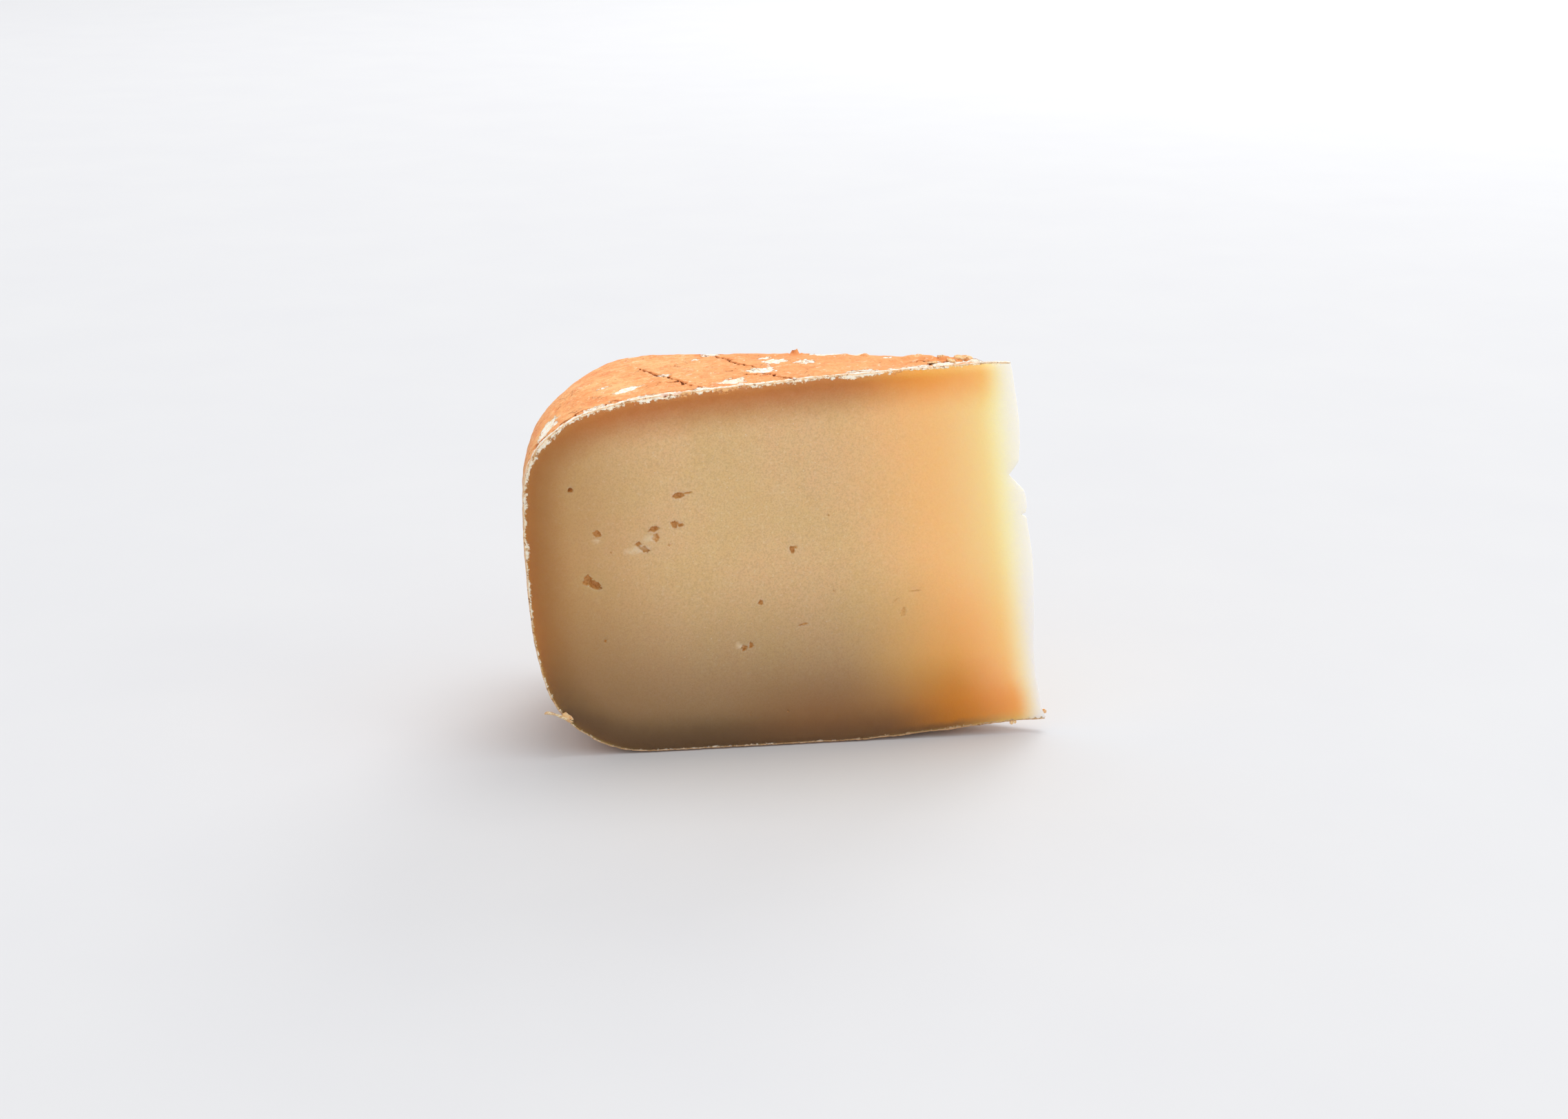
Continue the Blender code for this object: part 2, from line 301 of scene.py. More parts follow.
for _ in range(60):
    pits.append((surface(rng.uniform(low_run, high_run), rng.uniform(0, 1)), rng.uniform(0.35, 0.8), rng.uniform(0.25, 0.7)))
lifted = [(in_wheel(c), radius, height, k) for k, (c, radius, height) in enumerate(LIFTED)]

back_eyes = []
for k in range(20):
    size = 0.4 + 1.5 * rng.random() ** 2
    back_eyes.append((rng.uniform(28, 116), rng.uniform(14, 80), size, size * rng.uniform(0.4, 0.9), rng.uniform(-40, 40), size * 0.95, rng.uniform(0.2, 0.5)))


# ------------------------------------------------------------------ eyes
def eye_edge(theta, ragged, seed):
    p = np.stack([np.cos(theta) * 1.7, np.sin(theta) * 1.7, np.full_like(theta, seed * 3.1)], 1)
    return 1 + ragged * (noise(p, 1.0, 5) + 0.5 * noise(p, 0.45, 6))


def eye_depth(flat, eyes):
    """How deep the cut lies below its plane at these points (distance along, height), and how far inside an eye they are."""
    deep = np.zeros(len(flat))
    for k, (along, height, a, b, tilt, depth, ragged) in enumerate(eyes):
        q = flat - [-along, height]
        near = np.nonzero((q ** 2).sum(1) < (3 * max(a, b)) ** 2)[0]
        if not len(near):
            continue
        c, s = math.cos(math.radians(tilt)), math.sin(math.radians(tilt))
        u, v = (q[near, 0] * c + q[near, 1] * s) / a, (-q[near, 0] * s + q[near, 1] * c) / b
        rho = np.hypot(u, v) / eye_edge(np.arctan2(v, u), ragged, k)
        hole = depth * np.where(rho < 1, np.clip(1 - rho ** 3, 0, 1) ** 0.6, 0)
        deep[near] = np.maximum(deep[near], hole)
    return deep


def eye_points(eyes):
    found = []
    for k, (along, height, a, b, tilt, depth, ragged) in enumerate(eyes):
        small = max(a, b) < 0.45
        n = 10 if small else int(np.clip(2 * math.pi * max(a, b) / 0.26, 16, 40))
        rings = (0.5, 0.85, 1.02, 1.5) if small else (0.3, 0.55, 0.75, 0.88, 0.96, 1.03, 1.15, 1.4, 1.8)
        c, s = math.cos(math.radians(tilt)), math.sin(math.radians(tilt))
        found.append([-along, height])
        for j, ring in enumerate(rings):
            theta = (np.arange(n) + 0.5 * (j % 2)) * 2 * math.pi / n
            edge = eye_edge(theta, ragged, k) * ring
            u, v = np.cos(theta) * edge * a, np.sin(theta) * edge * b
            found.extend(np.stack([-along + u * c - v * s, height + u * s + v * c], 1))
    return np.array(found)


# ------------------------------------------------------------------ the base mesh
def off_loop(points, loop):
    """Distance from each point to a closed loop, and whether it lies inside."""
    best, inside = np.full(len(points), 1e9), np.zeros(len(points), bool)
    for a, b in zip(loop, np.roll(loop, -1, axis=0)):
        ab = b - a
        t = np.clip(((points - a) @ ab) / max(ab @ ab, 1e-12), 0, 1)
        best = np.minimum(best, np.hypot(*(points - a - t[:, None] * ab).T))
        crosses = (a[1] > points[:, 1]) != (b[1] > points[:, 1])
        x = a[0] + (points[:, 1] - a[1]) * ab[0] / (ab[1] if abs(ab[1]) > 1e-12 else 1e-12)
        inside ^= crosses & (points[:, 0] < x)
    return best, inside


def thinned(points, gap):
    tree, kept = KDTree(len(points)), []
    for i, p in enumerate(points):
        tree.insert((p[0], p[1], 0), i)
    tree.balance()
    dropped = np.zeros(len(points), bool)
    for i, p in enumerate(points):
        if dropped[i]:
            continue
        kept.append(i)
        for _, j, _ in tree.find_range((p[0], p[1], 0), gap):
            if j > i:
                dropped[j] = True
    return points[kept]


def filling(loop, eyes, spacing):
    """Points inside a cut's outline: rows that follow the rind, an even scatter within, and rings round the eyes."""
    ahead = np.roll(loop, -1, axis=0) - np.roll(loop, 1, axis=0)
    inward = np.stack([-ahead[:, 1], ahead[:, 0]], 1) / np.maximum(np.hypot(*ahead.T), 1e-9)[:, None]
    area = 0.5 * (loop[:, 0] * np.roll(loop[:, 1], -1) - np.roll(loop[:, 0], -1) * loop[:, 1]).sum()
    if area < 0:
        inward = -inward
    found = []
    for j, (depth, skip) in enumerate(((0.35, 1), (0.75, 1), (1.2, 1), (1.75, 1), (2.5, 2), (3.5, 2))):
        ring = (loop + inward * depth)[j % 2 if skip == 2 else 0::skip]
        gap, inside = off_loop(ring, loop)
        found.append(ring[inside & (gap > 0.8 * depth)])
    x = np.arange(loop[:, 0].min(), loop[:, 0].max(), spacing)
    z = np.arange(loop[:, 1].min(), loop[:, 1].max(), spacing * 0.866)
    grid = np.array([(a + spacing / 2 * (k % 2), b) for k, b in enumerate(z) for a in x])
    grid = grid + spacing * 0.12 * np.random.default_rng(3).normal(0, 1, grid.shape)
    gap, inside = off_loop(grid, loop)
    found.append(grid[inside & (gap > 4.0)])
    rest = np.vstack(found)
    rings = eye_points(eyes)
    gap, inside = off_loop(rings, loop)
    rings = thinned(rings[inside & (gap > 0.3)], 0.13)
    keep = np.ones(len(rest), bool)
    for along, height, a, b, *_ in eyes:
        keep &= np.hypot(rest[:, 0] + along, rest[:, 1] - height) > 1.9 * max(a, b)
    rest = rest[keep]
    tree = KDTree(len(rings))
    for i, p in enumerate(rings):
        tree.insert((p[0], p[1], 0), i)
    tree.balance()
    rest = rest[[tree.find((p[0], p[1], 0))[2] > 0.3 for p in rest]]
    return np.vstack([rest, rings])


def strip(a, b):
    """Faces between two rows whose cell counts are equal or differ by two."""
    na, nb = len(a) - 1, len(b) - 1
    if na == nb:
        return [(a[k], a[k + 1], b[k + 1], b[k]) for k in range(na)]
    if na > nb:
        return [f for k in range(nb) for f in ((a[2 * k], a[2 * k + 1], b[k]), (a[2 * k + 1], b[k + 1], b[k]), (a[2 * k + 1], a[2 * k + 2], b[k + 1]))]
    return [f for k in range(na) for f in ((a[k], b[2 * k + 1], b[2 * k]), (a[k], a[k + 1], b[2 * k + 1]), (a[k + 1], b[2 * k + 2], b[2 * k + 1]))]


def base_mesh():
    rows = []
    for r, z in LINE:
        turn, n = float(back_turn(r, z)), 3
        while r * turn / n > CELL and n < 96:
            n *= 2
        at = turn * np.linspace(0, 1, n + 1)
        rows.append(np.stack([-r * np.cos(at), r * np.sin(at), np.full(n + 1, z)], 1))
    rind_rows = len(rows)
    for z, r in resampled(np.array(EDGE)[::-1], 0.5)[1:-1]:
        share = np.linspace(0, 1, 4)
        wide = TIP_THICKNESS + (r - tip_radius(z)) * math.tan(ANGLE)
        rows.append(np.stack([-r + 0.22 * np.sin(math.pi * share), wide * share, np.full(4, z)], 1))
    verts, index = [], []
    for row in rows:
        index.append(list(range(len(verts), len(verts) + len(row))))
        verts.extend(row)
    faces, cut = [], []
    for i in range(len(rows)):
        made = strip(index[i], index[(i + 1) % len(rows)])
        faces += made
        cut += [i >= rind_rows - 1] * len(made)
    for side, eyes, spacing in ((0, FRONT_EYES, 1.15), (-1, back_eyes, 1.6)):
        edge = [ids[side] for ids in index]
        at = np.array([verts[i] for i in edge])
        flat = at[:, [0, 2]] if side == 0 else np.stack([-(at[:, :2] @ BACK_ALONG), at[:, 2]], 1)
        inner = filling(flat, eyes, spacing)
        points = [Vector(p) for p in np.vstack([flat, inner])]
        n = len(edge)
        out, _, tris, source = delaunay_2d_cdt(points, [(i, (i + 1) % n) for i in range(n)], [], 1, 1e-6)[:4]
        ids = []
        for p, origins in zip(out, source):
            if origins and min(origins) < n:
                ids.append(edge[min(origins)])
                continue
            ids.append(len(verts))
            xy = (p[0], 0.0) if side == 0 else -p[0] * BACK_ALONG + back_offset(p[1]) * BACK_OUT
            verts.append(np.array([xy[0], xy[1], p[1]]))
        faces += [tuple(ids[k] for k in tri) for tri in tris]
        cut += [True] * len(tris)
    bm = bmesh.new()
    made = [bm.verts.new(v) for v in verts]
    for ids, is_cut in zip(faces, cut):
        if len(set(ids)) < 3:
            continue
        try:
            face = bm.faces.new([made[i] for i in ids])
        except ValueError:
            continue
        face.material_index = 1 if is_cut else 0
        face.smooth = True
    return bm


def coords(bm):
    return np.array([v.co for v in bm.verts], float)


def crack_gap(points):
    """Distance to the nearest crack, and that crack's depth and half width there."""
    gap, depth, width = np.full(len(points), 1e9), np.zeros(len(points)), np.full(len(points), 0.3)
    for line, deep, wide in cracks:
        low, high = line.min(0) - 3, line.max(0) + 3
        near = np.nonzero(((points > low) & (points < high)).all(1))[0]
        if not len(near):
            continue
        g, along = off_line(points[near], line)
        ends = 0.35 + 0.65 * np.sin(math.pi * np.clip(along, 0.02, 0.98)) ** 0.5
        nearer = g < gap[near]
        gap[near[nearer]] = g[nearer]
        depth[near[nearer]] = (deep * ends)[nearer]
        width[near[nearer]] = (wide * ends)[nearer]
    return gap, depth, width


def build():
    bm = base_mesh()
    at = coords(bm)
    radius = np.hypot(at[:, 0], at[:, 1])
    gap, _, _ = crack_gap(at)
    bm.verts.index_update()
    near = [e for e in bm.edges if e.link_faces and e.link_faces[0].material_index == 0 and e.link_faces[-1].material_index == 0
            and gap[e.verts[0].index] < 0.8 and gap[e.verts[1].index] < 0.8]
    bmesh.ops.subdivide_edges(bm, edges=near, cuts=3, use_grid_fill=True)
    bmesh.ops.triangulate(bm, faces=[f for f in bm.faces if len(f.verts) > 4])
    bm.verts.index_update()

    at = coords(bm)
    radius, height = np.hypot(at[:, 0], at[:, 1]), at[:, 2]
    nearest, depth_in = np.zeros(len(at), int), np.zeros(len(at))
    for i in range(0, len(at), 20000):
        d = (radius[i:i + 20000, None] - LINE[None, :, 0]) ** 2 + (height[i:i + 20000, None] - LINE[None, :, 1]) ** 2
        nearest[i:i + 20000] = d.argmin(1)
        depth_in[i:i + 20000] = np.sqrt(d.min(1))
    on_front = np.abs(at[:, 1]) < 1e-4
    on_back = np.abs(at[:, :2] @ BACK_OUT - back_offset(height)) < 1e-3
    on_rind = np.zeros(len(at), bool)
    for f in bm.faces:
        if f.material_index == 0:
            for v in f.verts:
                on_rind[v.index] = True
    depth_in[on_rind] = 0
    share = np.arctan2(at[:, 1], -at[:, 0]) / np.maximum(back_turn(np.maximum(radius, 3), height), 1e-3)
    share = np.clip(share, 0, 1)

    # the rind's relief, along the wheel's own outward direction
    relief = 0.34 * noise(at, 27, 1) + 0.26 * layered(at, 9, 3, 2) + 0.13 * noise(at, 1.9, 3)
    shoulder = run_at(121, 82.5)
    relief += 1.25 * np.exp(-((RUN[nearest] - shoulder) / 16) ** 2) * step(0.08, 0.6, share)
    relief += 0.55 * step(shoulder, shoulder + 25, RUN[nearest]) * step(0.2, 0.95, share) * step(15, 60, radius)
    gap, deep, wide = crack_gap(at)
    relief -= deep * np.exp(-(gap / wide) ** 2) - 0.14 * np.exp(-((gap - 2.3 * wide) / 0.35) ** 2) * (deep > 0)
    white = np.zeros(len(at))
    for (c, a, b, turn, strength, seed), plan in [(s, True) for s in flaked] + [(s, False) for s in spots]:
        q = at - c
        near = np.nonzero((q ** 2).sum(1) < (2.2 * max(a, b)) ** 2)[0]
        if not len(near):
            continue
        q = q[near]
        cs, sn = math.cos(turn), math.sin(turn)
        if plan:
            u, v = (q[:, 0] * cs + q[:, 1] * sn) / a, np.hypot((-q[:, 0] * sn + q[:, 1] * cs), 0.6 * q[:, 2]) / b
        else:
            u, v = (q[:, 1] * cs + q[:, 2] * sn) / a, (-q[:, 1] * sn + q[:, 2] * cs) / b
        rho = np.hypot(u, v) * (1 + 0.45 * noise(at[near], 1.6, 40 + seed) + 0.3 * noise(at[near], 0.7, 41 + seed))
        white[near] = np.maximum(white[near], strength * step(1.15, 0.8, rho))
    relief -= 0.16 * white
    skin_at = at[on_rind]
    on_skin = lambda c: skin_at[((skin_at - c) ** 2).sum(1).argmin()]
    dents = [(on_skin(c), r, deep_pit) for c, r, deep_pit in pits]
    for c, r, deep_pit in dents:
        relief -= deep_pit * np.exp(-(((at - c) ** 2).sum(1) / (0.6 * r * r)) ** 1.5)
    bored = np.zeros(len(at))
    for c, r, deep_pit in dents:
        bored = np.maximum(bored, np.exp(-((at - c) ** 2).sum(1) / (0.7 * r) ** 2) * min(1.0, deep_pit))
    for c, r, tall, seed in lifted:
        q = np.linalg.norm(at - on_skin(c), axis=1) / r * (1 + 0.35 * noise(at, 1.2, 70 + seed))
        relief += tall * step(1.1, 0.7, q)
    fades = np.exp(-depth_in / 0.9)
    flat_foot = (LINE[nearest, 1] < 0.05)
    relief = np.where(flat_foot, -0.25 * np.abs(relief), relief)
    relief = np.where(height < 3.0, np.clip(relief, -0.5, 0.25), relief)
    near_tip = step(2.0, 9.0, radius - np.where(height > 50, 11, 0))
    relief *= fades * (0.25 + 0.75 * near_tip)
    out = OUTWARD[nearest]
    radial = at[:, :2] / np.maximum(radius, 0.5)[:, None]
    move = np.zeros_like(at)
    move[:, :2] = radial * (out[:, 0] * relief)[:, None]
    move[:, 2] = out[:, 1] * relief

    # the cuts
    eye = np.zeros(len(at))
    for side, mask, eyes in ((0, on_front, FRONT_EYES), (1, on_back & ~on_front, back_eyes)):
        ids = np.nonzero(mask)[0]
        p = at[ids]
        flat = p[:, [0, 2]] if side == 0 else np.stack([-(p[:, :2] @ BACK_ALONG), p[:, 2]], 1)
        holes = eye_depth(flat, eyes)
        far_from_tip = step(0.5, 14, p[:, 0] * -1 - tip_radius(p[:, 2]))
        wavy = (0.13 * noise(p, 17, 8 + side) + 0.05 * noise(p * [1, 1, 0.25], 4.5, 9 + side) + 0.03 * noise(p, 1.6, 10)) * far_from_tip
        rough = step(1.9, 0.7, depth_in[ids]) * step(0.5, 6, p[:, 0] * -1 - tip_radius(p[:, 2]))
        crumbly = rough * (0.20 + 0.22 * noise(p, 0.9, 11) + 0.18 * noise(p, 2.2, 12))
        crumbly += 1.0 * step(1.3, -0.1, depth_in[ids]) * step(50, 78, p[:, 2]) * step(0.5, 6, p[:, 0] * -1 - tip_radius(p[:, 2]))
        inset = holes + wavy + crumbly
        eye[ids] = holes
        if side == 0:
            move[ids, 1] = inset
        else:
            # keep the rind's edge on the cut's own plane before moving it in
            now = p + move[ids]
            off = now[:, :2] @ BACK_OUT - back_offset(now[:, 2])
            move[ids, :2] -= off[:, None] * BACK_OUT + inset[:, None] * BACK_OUT
    # the rind's own edge is bevelled back; the rind beside it makes room
    bevel = 1.25 * step(50, 78, height) * step(0.5, 6, -at[:, 0] - tip_radius(height))
    beside = on_rind & ~on_front & ~on_back
    from_front, from_back = at[:, 1], back_offset(height) - at[:, :2] @ BACK_OUT
    move[beside, 1] += (bevel * np.exp(-from_front / 2.6))[beside]
    move[beside, :2] -= (bevel * np.exp(-from_back / 2.6))[beside, None] * BACK_OUT
    edge_only = on_front & on_rind
    move[edge_only, 1] = np.maximum(move[edge_only, 1], 0.0)
    placed = at + move + SHIFT
    placed[:, 2] = np.maximum(placed[:, 2], cad_low.z * 1000)
    for v, p in zip(bm.verts, placed):
        v.co = p / 1000

    # facts the materials read
    upper = step(60, 84, LINE[nearest, 1])
    rim = (LINE[nearest, 0] > 121).astype(float)
    band = 0.34 + 0.30 * upper + 0.50 * rim * step(20, 60, LINE[nearest, 1]) + 0.05 * rim * upper
    band *= 1 + 0.65 * noise(at, 5, 30) + 0.5 * noise(at, 1.6, 31)
    band *= 1 - 0.38 * step(52, 42, -at[:, 0]) * upper
    broken, smear = np.zeros(len(at)), np.zeros(len(at))
    by_top = on_front & (height > 60)
    for along, half, extra in WIDER:
        band += np.where(by_top, extra * np.exp(-((-at[:, 0] - along) / half) ** 2), 0)
    for along, half in BROKEN:
        broken = np.maximum(broken, np.where(by_top, np.exp(-((-at[:, 0] - along) / half) ** 4), 0))
    for along, z, a, b, tilt in SMEARS:
        cs, sn = math.cos(math.radians(tilt)), math.sin(math.radians(tilt))
        u, v = -at[:, 0] - along, height - z
        u, v = (-u * cs + v * sn) / a, (u * sn + v * cs) / b
        smear = np.maximum(smear, np.where(on_front, step(1.1, 0.5, np.hypot(u, v) * (1 + 0.3 * noise(at, 1.2, 33))), 0))
    facts = {
        "rind_depth": np.where(on_rind, 0, depth_in),
        "band": band,
        "eye": np.clip(eye / 0.9, 0, 1),
        "crack": np.where(on_rind, np.maximum(np.exp(-(gap / (1.15 * wide)) ** 2) * (deep > 0), bored), 0),
        "white": white,
        "broken": broken,
        "front": 1 - step(0.0, 0.5, share) * (1 - on_front),
        "smear": smear,
        "top": upper,
        "height": height,
        "from_front": np.clip(from_front, 0, 20),
        "from_tip": np.maximum(-at[:, 0] - tip_radius(height), 0),
    }
    bmesh.ops.recalc_face_normals(bm, faces=bm.faces)
    mesh = bpy.data.meshes.new("cheese_wedge_look")
    bm.to_mesh(mesh)
    bm.free()
    for name, values in facts.items():
        layer = mesh.attributes.new(name, "FLOAT", "POINT")
        layer.data.foreach_set("value", np.asarray(values, np.float32))
    obj = bpy.data.objects.new("cheese_wedge_look", mesh)
    bpy.context.scene.collection.objects.link(obj)
    return obj


wedge = build()
print("wedge faces", len(wedge.data.polygons), "triangles", sum(len(p.vertices) - 2 for p in wedge.data.polygons))


# ------------------------------------------------------------------ materials
class Nodes:
    """Small helper for building a shader in code."""

    def __init__(self, name):
        self.material = bpy.data.materials.new(name)
        self.material.use_nodes = True
        self.tree = self.material.node_tree
        self.shader = self.tree.nodes["Principled BSDF"]
        self.place = self.tree.nodes.new("ShaderNodeTexCoord").outputs["Object"]

    def put(self, socket, value):
        if isinstance(value, bpy.types.NodeSocket):
            self.tree.links.new(value, socket)
        else:
            socket.default_value = value

    def fact(self, name):
        node = self.tree.nodes.new("ShaderNodeAttribute")
        node.attribute_name = name
        return node.outputs["Fac"]

    def noise(self, size_mm, detail=3.0, rough=0.55, distortion=0.0, stretch=None):
        node = self.tree.nodes.new("ShaderNodeTexNoise")
        node.inputs["Scale"].default_value = 1000.0 / size_mm
        node.inputs["Detail"].default_value = detail
        node.inputs["Roughness"].default_value = rough
        node.inputs["Distortion"].default_value = distortion
        self.put(node.inputs["Vector"], self.stretched(stretch) if stretch else self.place)
        return node.outputs["Fac"]

    def stretched(self, factors):
        node = self.tree.nodes.new("ShaderNodeMapping")
        self.put(node.inputs["Vector"], self.place)
        node.inputs["Scale"].default_value = factors
        return node.outputs["Vector"]

    def crazing(self, size_mm, width):
        """Thin irregular lines, 1 on the line: the edges of wandering cells."""
        shift = self.tree.nodes.new("ShaderNodeTexNoise")
        shift.inputs["Scale"].default_value = 1000.0 / (0.6 * size_mm)
        shift.inputs["Detail"].default_value = 4.0
        self.put(shift.inputs["Vector"], self.place)
        moved = self.tree.nodes.new("ShaderNodeVectorMath")
        moved.operation = "MULTIPLY_ADD"
        self.put(moved.inputs[0], shift.outputs["Color"])
        moved.inputs[1].default_value = (size_mm / 1000.0,) * 3
        self.put(moved.inputs[2], self.place)
        node = self.tree.nodes.new("ShaderNodeTexVoronoi")
        node.feature = "DISTANCE_TO_EDGE"
        node.inputs["Scale"].default_value = 1000.0 / size_mm
        self.put(node.inputs["Vector"], moved.outputs[0])
        return self.ramp(node.outputs["Distance"], width, width * 0.3)

    def math(self, how, a, b=0.0, c=0.0):
        node = self.tree.nodes.new("ShaderNodeMath")
        node.operation = how
        for socket, value in zip(node.inputs, (a, b, c)):
            self.put(socket, value)
        return node.outputs[0]

    def ramp(self, value, low, high, to_low=0.0, to_high=1.0):
        node = self.tree.nodes.new("ShaderNodeMapRange")
        node.interpolation_type = "SMOOTHSTEP"
        for socket, v in zip(node.inputs[:5], (value, low, high, to_low, to_high)):
            self.put(socket, v)
        return node.outputs[0]

    def mix(self, share, a, b, how="MIX"):
        node = self.tree.nodes.new("ShaderNodeMix")
        node.data_type = "RGBA"
        node.blend_type = how
        self.put(node.inputs["Factor"], share)
        self.put(node.inputs["A"], a if isinstance(a, bpy.types.NodeSocket) else (*a, 1.0))
        self.put(node.inputs["B"], b if isinstance(b, bpy.types.NodeSocket) else (*b, 1.0))
        return [o for o in node.outputs if o.type == "RGBA"][0]

    def bump(self, height, distance_mm, strength, normal=None):
        node = self.tree.nodes.new("ShaderNodeBump")
        node.inputs["Strength"].default_value = strength
        node.inputs["Distance"].default_value = distance_mm / 1000.0
        self.put(node.inputs["Height"], height)
        if normal is not None:
            self.put(node.inputs["Normal"], normal)
        return node.outputs["Normal"]


def rind_material():
    n = Nodes("rind")
    broad, mid, fine = n.noise(14, 4), n.noise(4.0, 5, 0.65, 0.5), n.noise(0.9, 4, 0.65)
    streak = n.noise(2.2, 4, 0.7, 0.3, (1.0, 1.0, 0.7))
    colour = n.mix(n.ramp(broad, 0.36, 0.66), (0.93, 0.355, 0.115), (0.97, 0.475, 0.18))
    colour = n.mix(n.ramp(mid, 0.50, 0.64, 0.0, 0.75), colour, (0.97, 0.54, 0.24))
    colour = n.mix(n.ramp(mid, 0.47, 0.34, 0.0, 0.85), colour, (0.86, 0.27, 0.075))
    colour = n.mix(n.ramp(streak, 0.52, 0.40, 0.0, 0.65), colour, (0.89, 0.30, 0.085))
    colour = n.mix(n.ramp(fine, 0.53, 0.62, 0.0, 0.40), colour, (0.98, 0.60, 0.30))
    colour = n.mix(n.ramp(n.fact("from_tip"), 88.0, 58.0, 0.0, 0.5), colour, (0.87, 0.31, 0.095))
    lower = n.ramp(n.fact("top"), 1.0, 0.0)
    colour = n.mix(n.math("MULTIPLY", lower, n.ramp(mid, 0.3, 0.7, 0.40, 0.90)), colour, (0.60, 0.305, 0.12))
    bloom = n.math("MULTIPLY", lower, n.ramp(n.noise(8.0, 5, 0.7, 0.6), 0.47, 0.60))
    colour = n.mix(n.math("MULTIPLY", bloom, n.ramp(fine, 0.35, 0.6, 0.15, 0.6)), colour, (0.68, 0.50, 0.31))
    stain = n.math("MULTIPLY", lower, n.ramp(n.noise(12.0, 4, 0.65, 0.8), 0.52, 0.64))
    colour = n.mix(n.math("MULTIPLY", stain, n.ramp(mid, 0.35, 0.6, 0.35, 0.8)), colour, (0.42, 0.20, 0.075))
    freckle = n.ramp(n.noise(0.8, 3, 0.7), 0.61, 0.68)
    colour = n.mix(n.math("MULTIPLY", freckle, 0.55), colour, (0.52, 0.17, 0.045))
    pale = n.ramp(n.noise(1.9, 5, 0.7, 0.8), 0.585, 0.65)
    colour = n.mix(n.math("MULTIPLY", pale, 0.60), colour, (0.94, 0.72, 0.45))
    # hair-fine broken lines, in some places only
    craze = n.crazing(2.6, 0.055)
    craze = n.math("MULTIPLY", craze, n.ramp(n.noise(9, 2), 0.50, 0.62))
    craze = n.math("MULTIPLY", craze, n.ramp(n.noise(1.6, 3, 0.6), 0.50, 0.60))
    colour = n.mix(n.math("MULTIPLY", craze, 0.75), colour, (0.46, 0.14, 0.03))
    bare = n.math("ADD", n.fact("white"), n.math("MULTIPLY", n.math("SUBTRACT", n.noise(1.0, 5, 0.7), 0.5), 2.6))
    rim = n.math("MULTIPLY", n.ramp(bare, 0.28, 0.50), n.ramp(bare, 0.70, 0.52))
    whole = n.ramp(n.fact("white"), 0.02, 0.15)
    rim = n.math("MULTIPLY", rim, whole)
    bare = n.math("MULTIPLY", n.ramp(bare, 0.50, 0.62), whole)
    bone = n.mix(n.ramp(fine, 0.38, 0.62), (0.95, 0.76, 0.50), (1.0, 0.96, 0.87))
    colour = n.mix(n.math("MULTIPLY", rim, 0.55), colour, (0.50, 0.19, 0.05))
    colour = n.mix(bare, colour, bone)
    # along the broken edge the dry paste shows, with a dark gap behind it here and there, mostly by the rim; the gap's
    # darkness is painted shade
    rag = n.math("MULTIPLY", n.math("SUBTRACT", n.noise(2.2, 5, 0.72), 0.5), 5.0)
    edge = n.math("ADD", n.math("ADD", n.fact("from_front"), rag), n.ramp(n.fact("from_tip"), 62.0, 40.0, 0.0, 0.8))
    crumbs = n.math("MULTIPLY", n.ramp(edge, 2.0, 1.5), n.fact("top"))
    colour = n.mix(crumbs, colour, n.mix(n.ramp(fine, 0.38, 0.50), (0.88, 0.55, 0.27), (1.0, 0.94, 0.80)))
    behind = n.math("MULTIPLY", n.ramp(edge, 1.9, 2.4), n.ramp(edge, 3.4, 2.9))
    behind = n.math("MULTIPLY", behind, n.math("MULTIPLY", n.fact("top"), n.ramp(n.noise(3.4, 3), 0.47, 0.56)))
    behind = n.math("MULTIPLY", behind, n.ramp(n.fact("from_tip"), 84.0, 106.0, 0.35, 0.9))
    colour = n.mix(n.math("MULTIPLY", behind, 0.85), colour, (0.34, 0.12, 0.03))
    # painted shade: near black-brown down in the cracks and pits, on top of their real grooves
    split = n.math("ADD", n.fact("crack"), n.math("MULTIPLY", n.math("SUBTRACT", fine, 0.5), 0.9))
    split = n.math("MULTIPLY", n.ramp(split, 0.40, 0.72), n.ramp(n.fact("crack"), 0.06, 0.2))
    lip = n.math("MULTIPLY", n.ramp(n.fact("crack"), 0.02, 0.25), n.ramp(fine, 0.40, 0.55))
    colour = n.mix(n.math("MULTIPLY", lip, 0.6), colour, (0.72, 0.20, 0.05))
    colour = n.mix(split, colour, (0.27, 0.08, 0.015))
    n.put(n.shader.inputs["Base Color"], colour)
    n.put(n.shader.inputs["Roughness"], n.ramp(mid, 0.3, 0.7, 0.62, 0.86))
    n.shader.inputs["Subsurface Weight"].default_value = 0.12
    n.shader.inputs["Subsurface Radius"].default_value = (1.0, 0.6, 0.4)
    n.shader.inputs["Subsurface Scale"].default_value = 0.0015
    n.shader.inputs["Specular IOR Level"].default_value = 0.28
    cloth = n.noise(0.7, 2, 0.5, 0.0, (1.0, 1.0, 0.5))
    height = n.math("ADD", n.math("MULTIPLY", mid, 0.55), n.math("MULTIPLY", fine, 0.45))
    height = n.math("ADD", height, n.math("MULTIPLY", cloth, 0.25))
    height = n.math("SUBTRACT", height, n.math("MULTIPLY", split, 0.8))
    height = n.math("SUBTRACT", height, n.math("MULTIPLY", craze, 0.5))
    height = n.math("SUBTRACT", height, n.math("MULTIPLY", bare, 0.25))
    height = n.math("SUBTRACT", height, n.math("MULTIPLY", behind, 0.8))
    n.put(n.shader.inputs["Normal"], n.bump(height, 0.6, 0.85))
    return n.material


